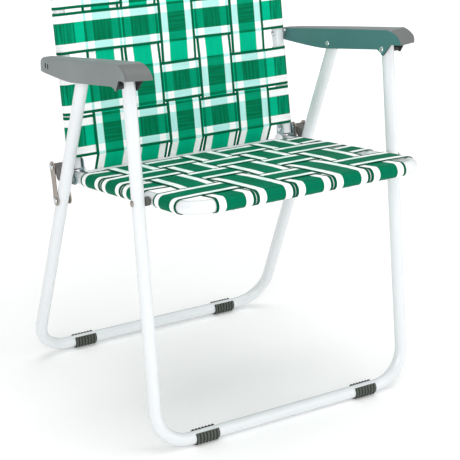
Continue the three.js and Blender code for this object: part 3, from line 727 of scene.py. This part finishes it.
for name, corners, bend, here, body, node in (
    ("front_leg_tube", front_leg_corners, floor_bend, front_frame, "front_legs", "front_leg_frame"),
    ("rear_leg_tube", rear_leg_corners, floor_bend, rear_frame, "rear_legs", "rear_leg_frame"),
    ("seat_tube", seat_corners, corner_bend, seat_frame, "seat", "seat_frame"),
    ("back_tube", back_corners, corner_bend, back_frame, "back", "back_frame"),
):
    finished(name, bent_tube(corners, bend), here.matrix, body, white_enamel, [node])

rod_profile = dome(head_radius, low_head_height, -plate_stack_end, -1)
rod_profile += [(rod_radius, -plate_stack_end), (rod_radius, plate_stack_end)]
rod_profile += list(reversed(dome(head_radius, low_head_height, plate_stack_end, 1)))
rod_place = side_place(seat_frame, rod_on_seat)
finished("rear_rod", turned(rod_profile), rod_place, "seat", white_enamel, ["seat_rear_rod"])


# Feet
def foot_sleeve():
    """A ribbed sleeve, open on top and flat underneath; its grooves take the second coat, which is painted
    shade.
    """
    inner = tube_radius + fit_gap
    outer = inner + foot_wall
    half = foot_length / 2
    profile = [(inner, half), (inner, -half)]
    for step in range(foot_ribs * foot_rib_steps + 1):
        x = -half + foot_length * step / (foot_ribs * foot_rib_steps)
        wave = (1 - math.cos(2 * math.pi * step / foot_rib_steps)) / 2
        profile.append((outer - foot_rib_depth * (1 - wave), x))
    bm = bmesh.new()
    start = Matrix.Rotation(foot_opening / 2, 4, "X")
    points = [bm.verts.new(start @ Vector((x, 0, radius))) for radius, x in profile]
    bmesh.ops.spin(
        bm, geom=[bm.faces.new(points)], cent=(0, 0, 0), axis=(1, 0, 0), dvec=(0, 0, 0),
        angle=2 * math.pi - foot_opening, steps=foot_turn_steps, use_merge=False, use_duplicate=False)
    bmesh.ops.recalc_face_normals(bm, faces=bm.faces)
    for face in bm.faces:
        away = face.calc_center_median().yz.length
        face.material_index = int(inner + fit_gap < away < outer - foot_rib_depth / 2)
    for vert in bm.verts:
        vert.co.z = max(vert.co.z, -bar_z)
    return bm


for side, sign in SIDES:
    for end, x, y, body in (
        ("front", front_foot_x, front_bar_y, "front_legs"), ("rear", rear_foot_x, rear_bar_y, "rear_legs")
    ):
        finished(
            f"{end}_foot_sleeve_{side}", foot_sleeve(), Matrix.Translation((sign * x, y, bar_z)), body,
            dark_rubber, [f"{end}_foot_{side}"], crisp=60, more_coats=[groove_shade_rubber])


# Armrests
# The grey moulding, then painted light: the inner wall's green reflection, the channel's shade and the
# nose's shade.
arm_coats = [grey_moulding, green_reflection_moulding, shaded_moulding, nose_shade_moulding]
reflection_wall_coat, channel_shade_coat, nose_shade_coat = 1, 2, 3


def curve(start, bend, end, steps=6):
    """Points after the first on the quadratic curve between two points that is drawn towards a third."""
    shares = [step / steps for step in range(1, steps + 1)]
    return [start * (1 - t) ** 2 + bend * (2 * t * (1 - t)) + end * t ** 2 for t in shares]


def arm_top_line():
    """The upper edge from the nose to the rear."""
    points = []
    for step in range(nose_steps + 1):
        angle = quarter * step / nose_steps
        y = -nose_setback - (nose_reach - nose_setback) * math.cos(angle)
        points.append(Vector((y, nose_lip + (nose_crown - nose_lip) * math.sin(angle))))
    corner = Vector((arm_rear, back_pivot.y + arm_end_above))
    shoulder = corner - Vector((arm_corner, 0))
    middle = (points[-1] + shoulder) / 2 + Vector((0, arm_crown))
    points += curve(points[-1], middle, shoulder, crown_steps)
    return points + curve(shoulder, corner, corner - Vector((0, arm_corner)))


def arm_low_line(tab):
    """The lower edge of a wall from the nose to the rear, with a tab of some depth at the front leg."""
    belly = Vector((rear_pivot.x, rear_pivot.y - arm_belly))
    slope = (belly.y + tab_notch) / (belly.x - tab_rear)
    corner = Vector((arm_rear, back_pivot.y - arm_end_below))
    heel = corner - Vector((arm_corner, 0))
    tab_front = Vector((-tab_lead - tab_half, tab_round - tab))
    tab_back = Vector((-tab_lead + tab_half, tab_round - tab))
    points = [Vector((-nose_reach, nose_lip)), Vector((-lip_rear, nose_lip - lip_drop)), tab_front]
    points += curve(tab_front, Vector((-tab_lead, -tab_round - tab)), tab_back)
    points += [Vector((tab_rear, -tab_notch)), belly]
    points += curve(belly, belly + Vector((1, slope)) * arm_belly_run, heel, belly_steps)
    return points + curve(heel, corner, corner + Vector((0, arm_corner)))


def height_at(line, y):
    """The height of a line at one place along the arm."""
    for start, end in zip(line, line[1:]):
        if y <= end.x:
            return start.lerp(end, (y - start.x) / (end.x - start.x)).y
    return line[-1].y


def arm_outer_x(y):
    """The outer wall from above: it tapers to the rear and its corners are rounded."""
    turn_from = nose_turn - nose_reach
    end_from = arm_rear - arm_end_round
    if y < turn_from:
        share = min(1, (turn_from - y) / nose_turn)
        return arm_outer_face - nose_draw * (1 - math.sqrt(1 - share * share))
    if y > end_from:
        share = min(1, (y - end_from) / arm_end_round)
        return arm_outer_face - arm_taper - arm_end_round * (1 - math.sqrt(1 - share * share))
    return arm_outer_face - arm_taper * (y - turn_from) / (end_from - turn_from)


def arm_edge_round(y):
    """The rounding of the upper outer edge grows towards the rear."""
    share = max(0, 1 - (arm_rear - y) / arm_edge_run)
    return arm_edge + (arm_end_edge - arm_edge) * soft_step(share)


def arm_section(y, top, inner_low, outer_low):
    """Points (x, z) from the foot of the inner wall over the top to the foot of the outer wall."""
    arc_steps = 5
    outer = arm_outer_x(y)
    room = arm_edge_share * min(top - outer_low, outer - arm_inner_face)
    outer_edge = min(arm_edge_round(y), room)
    inner_edge = min(arm_edge, arm_edge_share * (top - inner_low))
    points = [(arm_inner_face, inner_low)]
    corners = ((arm_inner_face + inner_edge, inner_edge, 2), (outer - outer_edge, outer_edge, 1))
    for x, edge, start in corners:
        for step in range(arc_steps + 1):
            angle = quarter * (start - step / arc_steps)
            points.append((x + edge * math.cos(angle), top - edge + edge * math.sin(angle)))
    return points + [(outer, outer_low)]


def canted(x, y):
    """Sets the nose back towards its outer corner."""
    share = (x - arm_inner_face) / (arm_outer_face - arm_inner_face)
    return y + nose_cant * share * soft_step(min(1, max(0, -y / nose_cant_run)))


def wall_hole(bm, centre, half_width, half_height):
    """Cuts a hole through the outer wall."""
    reach = Vector((half_width, half_height))
    for axis in (0, 1):
        for way in (-1, 1):
            facing = [face for face in bm.faces if face.normal.x > outer_facing]
            near = [face for face in facing if face.calc_center_median().y > rear_pivot.x]
            parts = {item for face in near for item in (*face.verts, *face.edges, face)}
            cut = Vector((0, 0, 0))
            cut[axis + 1] = centre[axis] + way * reach[axis]
            across = Vector((0, 1 - axis, axis))
            bmesh.ops.bisect_plane(bm, geom=list(parts), dist=cut_weld, plane_co=cut, plane_no=across)
    inside = []
    for face in bm.faces:
        middle = face.calc_center_median().yz - centre
        if face.normal.x > outer_facing and abs(middle.x) < reach.x and abs(middle.y) < reach.y:
            inside.append(face)
    bmesh.ops.delete(bm, geom=inside, context="FACES")


def arm_boss(pivot):
    """A boss between the outer wall and the leg."""
    start = leg_x + tube_radius + fit_gap
    end = arm_outer_x(pivot[0]) - arm_wall / 2
    bore = pin_radius + fit_gap
    boss = turned([(bore, start), (boss_radius, start), (boss_radius, end), (bore, end)], shut=True)
    # The boss takes the channel's painted shade.
    for face in boss.faces:
        face.material_index = channel_shade_coat
    return boss, Matrix.Translation((0, pivot[0], pivot[1]))


def armrest():
    """The right armrest in the arms' frame: a moulded channel, open underneath, with bosses at the legs."""
    top_line = arm_top_line()
    inner_line = arm_low_line(inner_tab_depth)
    outer_line = arm_low_line(outer_tab_depth)
    stations = sorted({round(point.x, 6) for point in top_line + inner_line})
    sections = []
    for y in stations:
        heights = [height_at(line, y) for line in (top_line, inner_line, outer_line)]
        sections.append([(x, canted(x, y), z) for x, z in arm_section(y, *heights)])
    bm = bmesh.new()
    last = len(sections) - 1
    spots = grid_spots(bm, len(sections[0]) - 1, last)
    for vert, (column, row) in spots.items():
        vert.co = sections[row][column]
    rear_end = sorted((spot[0], vert) for vert, spot in spots.items() if spot[1] == last)
    bm.faces.new([vert for column, vert in rear_end])
    bmesh.ops.remove_doubles(bm, verts=bm.verts, dist=weld)
    bmesh.ops.dissolve_degenerate(bm, dist=weld, edges=bm.edges)
    bmesh.ops.recalc_face_normals(bm, faces=bm.faces)
    for inset in slot_insets:
        wall_hole(bm, Vector((arm_rear - inset, back_pivot.y)), slot_half_width, slot_half_height)
    wall_hole(bm, Vector((arm_rear - end_hole_inset, back_pivot.y)), end_hole_half, end_hole_half)
    # Painted light by facing: the inner wall takes a painted green reflection with painted shade, the nose
    # a painted shade.
    for face in bm.faces:
        if face.normal.x < inner_facing:
            face.material_index = reflection_wall_coat
        elif face.normal.y < nose_facing:
            face.material_index = nose_shade_coat
    outside = set(bm.faces)
    bmesh.ops.solidify(bm, geom=bm.faces, thickness=arm_wall)
    # The inner skin of the channel takes painted shade.
    for face in set(bm.faces) - outside:
        face.material_index = channel_shade_coat
    return gathered([(bm, Matrix.Identity(4)), arm_boss((0, 0)), arm_boss(rear_pivot)])


for side, sign in SIDES:
    bm = armrest()
    bmesh.ops.scale(bm, vec=(sign, 1, 1), verts=bm.verts)
    bmesh.ops.recalc_face_normals(bm, faces=bm.faces)
    finished(
        f"armrest_moulded_{side}", bm, arm_frame.matrix, "arms", arm_coats[0],
        [f"armrest_{side}"], more_coats=arm_coats[1:])


# Hinges, links, spacers and rivets
arm_rivet_ends = (arm_inner_face - fit_gap, leg_x + tube_radius + fit_gap + boss_grip)
seat_rivet_ends = (leg_x + tube_radius + fit_gap, frame_x - tube_radius - fit_gap)
hinge_rivet_ends = (inner_plate_x - fit_gap, plate_stack_end)
link_reach = tube_radius + link_gap + link_thickness + fit_gap
link_rivet_ends = (leg_x + link_reach, leg_x - link_reach)
seat_pivot = (0, -seat_pivot_drop)
link_foot = (0, -link_pivot_drop)

rivets = (
    ("arm_front_rivet", arm_rivet_ends, False, arm_frame, (0, 0), "arms", bright_rivet),
    ("arm_rear_rivet", arm_rivet_ends, False, arm_frame, rear_pivot, "arms", bright_rivet),
    ("seat_pivot_rivet", seat_rivet_ends, True, front_frame, seat_pivot, "front_legs", dull_steel),
    ("hinge_rivet", hinge_rivet_ends, True, back_frame, (0, 0), "seat", bright_rivet),
    ("link_lower_rivet", link_rivet_ends, True, rear_frame, link_foot, "rear_legs", bright_rivet),
    ("link_upper_rivet", link_rivet_ends, True, rear_frame, hinge_on_rear_leg, "links", bright_rivet),
)


def domed_rivets(side, sign):
    """The rivets of the list above, on one side of the chair."""
    for stem, ends, tail, here, spot, body, coat in rivets:
        rivet = turned(rivet_profile(sign * ends[0], sign * ends[1], pin_radius, tail))
        place = side_place(here, spot)
        finished(f"{stem}_domed_{side}", rivet, place, body, coat, [f"{stem}_{side}"])


def back_rivet(side, sign):
    """The rivet of back and armrest, with a thick shoulder between them."""
    head = frame_x - tube_radius - fit_gap
    shoulder = (frame_x + tube_radius + fit_gap, arm_inner_face - fit_gap)
    tail_from = arm_inside + fit_gap
    profile = dome(head_radius, head_height, head, -1)
    profile += [(pin_radius, head), (pin_radius, shoulder[0]), (spacer_radius, shoulder[0])]
    profile += [(spacer_radius, shoulder[1]), (pin_radius, shoulder[1]), (pin_radius, tail_from)]
    profile += list(reversed(dome(head_radius, low_head_height, tail_from, 1)))
    finished(
        f"arm_back_rivet_domed_{side}", turned(mirrored(profile, sign)), side_place(arm_frame, back_pivot),
        "arms", bright_rivet, [f"arm_back_rivet_{side}"])


def pivot_bush(side, sign):
    """The spacer of seat tube and front leg."""
    bore = pin_radius + fit_gap
    near, far = frame_x + tube_radius + fit_gap, leg_x - tube_radius - fit_gap
    profile = [(bore, near), (spacer_radius - bush_edge, near), (spacer_radius, near + bush_edge)]
    profile += [(spacer_radius, far - bush_edge), (spacer_radius - bush_edge, far), (bore, far)]
    finished(
        f"seat_pivot_bush_{side}", turned(mirrored(profile, sign), shut=True), side_place(seat_frame),
        "seat", dark_rubber, [f"seat_pivot_spacer_{side}"])


def rod_collar(side, sign):
    """The collar on the rear rod, beside the inner hinge plate."""
    bore = rod_radius + fit_gap
    near, far = inner_plate_x - fit_gap - collar_length, inner_plate_x - fit_gap
    profile = [(bore, near), (collar_radius - collar_lip, near)]
    profile += [(collar_radius - collar_swell, near + bush_edge), (collar_radius, near + collar_lip)]
    profile += [(collar_radius, far), (bore, far)]
    finished(
        f"rod_collar_turned_{side}", turned(mirrored(profile, sign), shut=True), rod_place, "seat",
        white_nylon, [f"rod_collar_{side}"])


def plates_and_saddle(side):
    """The hinge plates and the saddle: their solids with rounded edges."""
    for stem, body, coat, slot, width in (
        ("hinge_plate_inner", "seat", zinc_plate, "zinc", plate_edge),
        ("hinge_plate_outer", "seat", zinc_plate, "zinc", plate_edge),
        ("link_saddle", "links", dark_moulding, "grey_plastic", saddle_edge),
    ):
        node = f"{stem}_{side}"
        rounded = bevelled_copy(node, width)
        finished(f"{stem}_rounded_{side}", rounded, Matrix.Identity(4), body, coat, [node])


def fold_links(side, sign):
    """The folding links: their solids with rounded edges and a pressed face."""
    for stem, way in (("fold_link_inner", -sign), ("fold_link_outer", sign)):
        node = f"{stem}_{side}"
        link = pressed(bevelled_copy(node, plate_edge), way, link_rim, link_press)
        finished(f"{stem}_pressed_{side}", link, Matrix.Identity(4), "links", dull_steel, [node])


def back_tube_plug(side, sign):
    """The domed plug in the lower end of the back tube; its dark rubber is partly painted shade, for the
    dark gap under the tube's end.
    """
    stem_radius = tube_radius - tube_wall - fit_gap
    profile = dome(plug_radius, plug_height, 0, -1)
    profile += [(stem_radius, 0), (stem_radius, plug_depth), (0, plug_depth)]
    tube_end = Matrix.Translation((sign * frame_x, 0, -back_tube_overrun))
    place = back_frame.matrix @ (tube_end @ Matrix.Rotation(-quarter, 4, "Y"))
    finished(f"back_tube_plug_{side}", turned(profile), place, "back", dark_rubber)


for side, sign in SIDES:
    domed_rivets(side, sign)
    back_rivet(side, sign)
    pivot_bush(side, sign)
    rod_collar(side, sign)
    plates_and_saddle(side)
    fold_links(side, sign)
    back_tube_plug(side, sign)


# Webbing
class TapePath:
    """The line of a tape in its plane, with the tape or the tube behind it at each step."""

    def __init__(self):
        self.points = []
        self.crossed = []
        self.tubes = []

    def reach(self, point, crossed=None, tube=False):
        """Goes on to a point: crossed spans the tape behind the step, tube says that a tube is there."""
        if self.points:
            self.crossed.append(crossed)
            self.tubes.append(tube)
        self.points.append(Vector(point))

    def wrap(self, centre, radius, start, end, tube=True):
        """Runs round a tube or the rod from one angle to another."""
        steps = max(3, math.ceil(abs(end - start) / wrap_step))
        for step in range(steps + 1):
            angle = start + (end - start) * step / steps
            first = centre[0] + radius * math.cos(angle)
            second = centre[1] + radius * math.sin(angle)
            self.reach((first, second), tube=tube)

    def weave(self, centres, levels, base, along_first=True):
        """Runs over and under the tapes at these centres, with a soft step from one level to the next."""
        half = strap_width / 2
        for index, (centre, level) in enumerate(zip(centres, levels)):
            low, high = centre - half, centre + half
            stops = [low, low + tape_lap]
            flat_run = strap_width - 2 * tape_lap
            inner = max(2, round(flat_run / row_step))
            stops += [low + tape_lap + flat_run * i / inner for i in range(1, inner + 1)]
            stops.append(high)
            for number, stop in enumerate(stops):
                here = base + self.level_at(stop, index, centres, levels)
                point = (stop, here) if along_first else (here, stop)
                span = None
                if number > 0:
                    span = ((stops[number - 1] - centre) / half, (stop - centre) / half)
                self.reach(point, span)

    @staticmethod
    def level_at(stop, index, centres, levels):
        """The level at a stop: that of its own crossing, or on the way to a neighbour's."""
        half = strap_width / 2
        level = levels[index]
        for other in (index - 1, index + 1):
            if not 0 <= other < len(centres):
                continue
            way = 1 if other > index else -1
            start = centres[index] + way * (half - tape_lap)
            end = centres[other] - way * (half - tape_lap)
            share = (stop - start) / (end - start)
            if 0 < share < 1:
                level = levels[index] + (levels[other] - levels[index]) * soft_step(share)
        return level

    def normals(self):
        """The way out of the tape's face at each point."""
        last = len(self.points) - 1
        for index in range(last + 1):
            along = self.points[min(index + 1, last)] - self.points[max(index - 1, 0)]
            yield Vector((-along.y, along.x)).normalized()

    def lengths(self):
        """The run of tape up to each point."""
        run = [0.0]
        for first, second in zip(self.points, self.points[1:]):
            run.append(run[-1] + (second - first).length)
        return run


def leaving_angle(centre, radius, point, side):
    """Where a straight run from a circle to a point leaves the circle, on one side or the other."""
    away = Vector(point) - Vector(centre)
    return math.atan2(away.y, away.x) + side * math.acos(radius / away.length)


def tape_section(column):
    """Across and through the tape, once round its section: out over the face and back under it."""
    place = column % (2 * strap_columns + 2)
    face = place <= strap_columns
    number = place if face else 2 * strap_columns + 1 - place
    across = (number / strap_columns - 0.5) * strap_width
    return across, tape_thickness / 2 if face else -tape_thickness / 2


def strap(name, path, lay, wander_from, here, body, coat, node):
    """Weaves a flat grid into a closed tape round its path; lay puts (across, point) in the frame here."""
    bm = bmesh.new()
    spots = grid_spots(bm, 2 * strap_columns + 2, len(path.points) - 1)
    normals = list(path.normals())
    lengths = path.lengths()
    tape = bm.loops.layers.uv.new("Tape")
    crossing = bm.loops.layers.uv.new("Crossing")
    for face in bm.faces:
        first_row = min(spots[vert][1] for vert in face.verts)
        span = path.crossed[first_row]
        for loop in face.loops:
            column, row = spots[loop.vert]
            across = tape_section(column)[0]
            loop[tape].uv = (across, lengths[row])
            # The Crossing map tells the coat where a tape or a tube lies behind, for its painted backlight
            # and shade.
            behind = span[row - first_row] if span else nothing_behind
            loop[crossing].uv = (behind, float(path.tubes[first_row]))
    for vert, (column, row) in spots.items():
        across, through = tape_section(column)
        wander = tape_wander * math.sin(2 * math.pi * lengths[row] / wander_length + wander_from)
        vert.co = lay(across + wander, path.points[row] + normals[row] * through)
    bmesh.ops.remove_doubles(bm, verts=bm.verts, dist=weld)
    bmesh.ops.holes_fill(bm, edges=[e for e in bm.edges if e.is_boundary], sides=0)
    bmesh.ops.recalc_face_normals(bm, faces=bm.faces)
    piece = finished(name, bm, here.matrix, body, coat, [node])
    return piece


def lengthwise(x):
    return lambda across, point: (x + across, point.x, point.y)


def across_seat(y):
    return lambda across, point: (point.x, y + across, point.y)


def across_back(z):
    return lambda across, point: (point.x, point.y, z + across)


def phase(steps, number):
    """Where a tape's wander starts, so that no two of them run alike."""
    return steps[0] * number + steps[1]


rod_wrap = rod_radius + fit_gap + solid_thickness / 2
strap_meet_half = fit_gap / rod_radius

for column, x in enumerate(long_centres):
    levels = [weave_half if seat_long_over(column, row) else -weave_half for row in seat_rows]
    path = TapePath()
    path.wrap((-seat_reach, 0), weave_level, 3 * quarter + tape_tail, quarter)
    path.weave(seat_cross_centres, levels, weave_level)
    leave = leaving_angle(rod_on_seat, rod_wrap, path.points[-1], 1)
    path.wrap(rod_on_seat, rod_wrap, leave, strap_meet - strap_meet_half, tube=False)
    strap(
        f"seat_tape_long_{column + 1}", path, lengthwise(x), phase(seat_long_phase, column), seat_frame,
        "seat", seat_tape, f"seat_strap_long_{column + 1}")

    levels = [-weave_half if back_long_over(column, row) else weave_half for row in back_rows]
    path = TapePath()
    meet = strap_meet + strap_meet_half + seat_frame.turn - back_frame.turn - 2 * math.pi
    first = (-weave_level + levels[0], back_cross_centres[0] - strap_width / 2)
    path.wrap(rod_on_back, rod_wrap, meet, leaving_angle(rod_on_back, rod_wrap, first, -1), tube=False)
    path.weave(back_cross_centres, levels, -weave_level, along_first=False)
    path.wrap((0, back_rise), weave_level, math.pi, -tape_tail)
    strap(
        f"back_tape_long_{column + 1}", path, lengthwise(x), phase(back_long_phase, column), back_frame,
        "back", back_tape, f"back_strap_long_{column + 1}")

for row, y in enumerate(seat_cross_centres):
    levels = [-weave_half if seat_long_over(column, row) else weave_half for column in range(long_count)]
    path = TapePath()
    path.wrap((-frame_x, 0), weave_level, 3 * quarter + tape_tail, quarter)
    path.weave(long_centres, levels, weave_level)
    path.wrap((frame_x, 0), weave_level, quarter, -quarter - tape_tail)
    strap(
        f"seat_tape_cross_{row + 1}", path, across_seat(y), phase(seat_cross_phase, row), seat_frame,
        "seat", seat_tape, f"seat_strap_cross_{row + 1}")

for row, z in enumerate(back_cross_centres):
    levels = [weave_half if back_long_over(column, row) else -weave_half for column in range(long_count)]
    path = TapePath()
    path.wrap((-frame_x, 0), weave_level, quarter - tape_tail, 3 * quarter)
    path.reach((tape_hem - frame_x, -weave_level), tube=True)
    path.weave(long_centres, levels, -weave_level)
    path.reach((frame_x - tape_hem, -weave_level))
    path.wrap((frame_x, 0), weave_level, -quarter, quarter + tape_tail)
    strap(
        f"back_tape_cross_{row + 1}", path, across_back(z), phase(back_cross_phase, row), back_frame,
        "back", back_tape, f"back_strap_cross_{row + 1}")


# Screws at the strap ends, on the far side of the tubes
def strap_screws(name, tubes, here, body):
    """Domed screws: each tube gives its centre, two axes in the plane of the strap, and an angle."""
    profile = dome(screw_radius, screw_height, 0, 1)
    profile += [(screw_radius, -tape_thickness), (0, -tape_thickness)]
    parts = []
    for centre, first, second, angle in tubes:
        out = Vector(first) * math.cos(angle) + Vector(second) * math.sin(angle)
        spot = Vector(centre) + out * (weave_level + tape_thickness / 2)
        turn = out.to_track_quat("X", "Z").to_matrix().to_4x4()
        parts.append((turned(profile, steps=screw_steps), Matrix.Translation(spot) @ turn))
    finished(name, gathered(parts), here.matrix, body, bright_rivet)


along_x, along_y, along_z = Matrix.Identity(3)
screw_turn = quarter + tape_tail / 4
seat_ends = [((x, -seat_reach, 0), along_y, along_z, screw_turn - math.pi) for x in long_centres]
back_ends = [((x, 0, back_rise), along_y, along_z, quarter - screw_turn) for x in long_centres]
for sign in (-1, 1):
    outward = along_x * sign
    seat_ends += [((sign * frame_x, y, 0), outward, along_z, -screw_turn) for y in seat_cross_centres]
    back_ends += [((sign * frame_x, 0, z), outward, along_y, screw_turn) for z in back_cross_centres]
strap_screws("seat_strap_screws", seat_ends, seat_frame, "seat")
strap_screws("back_strap_screws", back_ends, back_frame, "back")


# Studio: floor, light and camera
def studio_floor():
    """A pale floor just under the feet, with a painted glow that is brighter further out."""
    bm = bmesh.new()
    bmesh.ops.create_grid(bm, x_segments=8, y_segments=8, size=8.0)
    mesh = bpy.data.meshes.new("studio_floor")
    bm.to_mesh(mesh)
    bm.free()
    coat, bench, shader = new_coat("pale_floor", Roughness=0.9, Emission_Strength=1.0)
    place = object_place(bench)
    cloud = bench.noise(place, scale=3.0)
    bench.feed(shader["Base Color"], bench.mix(cloud, grey(0.93), grey(0.95)))
    away = bench.add("ShaderNodeVectorMath", {"operation": "LENGTH"})
    bench.feed(away.inputs[0], place)
    far = bench.ramp(away.outputs["Value"], 0.6, 3.2)
    bench.feed(shader["Emission Color"], bench.mix(far, grey(0.12), grey(0.55)))
    mesh.materials.append(coat)
    floor = bpy.data.objects.new("studio_floor", mesh)
    floor.location.z = -0.5 * MM
    bpy.context.scene.collection.objects.link(floor)


def soft_light(name, place, target, size, power):
    light = bpy.data.lights.new(name, "AREA")
    light.shape = "DISK"
    light.size = size
    light.energy = power
    lamp = bpy.data.objects.new(name, light)
    lamp.location = place
    lamp.rotation_euler = (Vector(target) - Vector(place)).to_track_quat("-Z", "Y").to_euler()
    bpy.context.scene.collection.objects.link(lamp)


def studio_world():
    world = bpy.data.worlds.new("studio_world")
    world.use_nodes = True
    sky = world.node_tree.nodes["Background"]
    sky.inputs["Color"].default_value = grey(1.0)
    sky.inputs["Strength"].default_value = 0.5
    bpy.context.scene.world = world


def photo_camera():
    """Sees the chair from its front left, through a long lens."""
    azimuth = math.radians(-32.29)
    elevation = math.radians(17.56)
    target = Vector((0, -0.0553, 0.3452))
    distance = 2.3056
    level = math.cos(elevation)
    look = Vector((-math.sin(azimuth) * level, math.cos(azimuth) * level, -math.sin(elevation)))
    camera = bpy.data.cameras.new("photo_camera")
    camera.sensor_width = 36
    camera.lens = 112.43
    camera.shift_x = -0.0262
    camera.shift_y = -0.0845
    seen = bpy.data.objects.new("photo_camera", camera)
    seen.location = target - look * distance
    seen.rotation_euler = look.to_track_quat("-Z", "Y").to_euler()
    bpy.context.scene.collection.objects.link(seen)
    bpy.context.scene.camera = seen


studio_floor()
studio_world()
soft_light("key_light", (-2.1, -2.5, 1.5), target=(0, 0, 0.5), size=2.2, power=45)
soft_light("fill_light", (2.2, -2.4, 1.2), target=(0, 0, 0.4), size=2.4, power=22)
soft_light("top_light", (0.3, -0.2, 3.2), target=(0, 0, 0.4), size=3.4, power=54)
photo_camera()
bpy.context.scene.view_settings.view_transform = "Standard"
